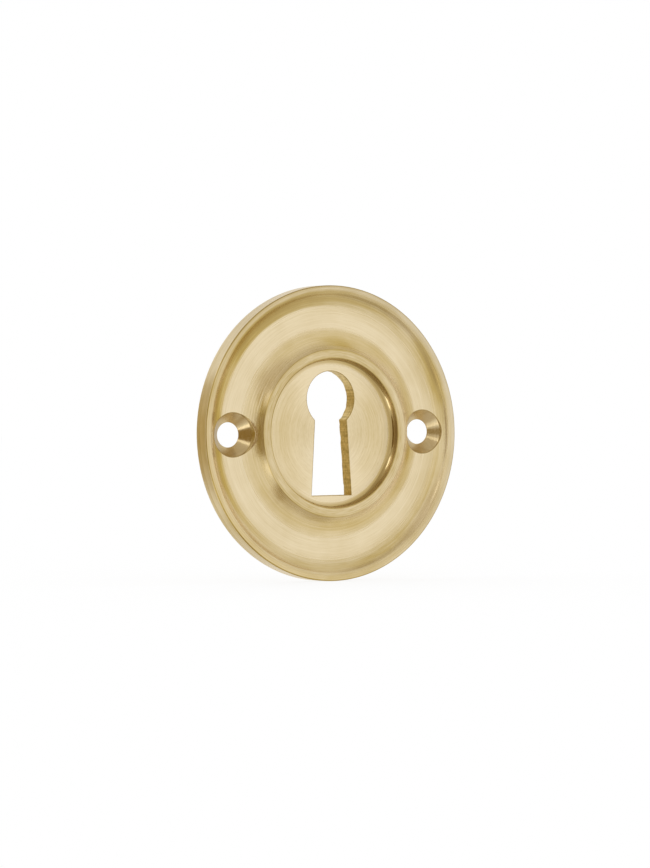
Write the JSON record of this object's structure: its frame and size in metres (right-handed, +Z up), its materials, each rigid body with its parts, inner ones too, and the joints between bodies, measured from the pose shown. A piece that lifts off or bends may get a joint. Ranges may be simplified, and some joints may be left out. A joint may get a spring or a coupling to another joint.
{
  "type": "keyhole escutcheon",
  "caption": "Round turned brass plate with a raised ring round a keyhole, a hollow channel, a plain rim and countersunk screw holes, fixed over the keyhole of a door or drawer.",
  "frame": {"origin": "centre of the flat back, on the axis of the disc and midway between the screw holes", "axes": "+Z up with the round end of the keyhole at the top, +X to the right as seen from the front, -Y out of the front face, so the back lies on the plane Y = 0"},
  "size_m": [0.05, 0.0037, 0.05],
  "materials": {
    "turned_brass": "satin, turned"
  },
  "bodies": {
    "root": {"escutcheon": "turned_brass"}
  },
  "joints": []
}
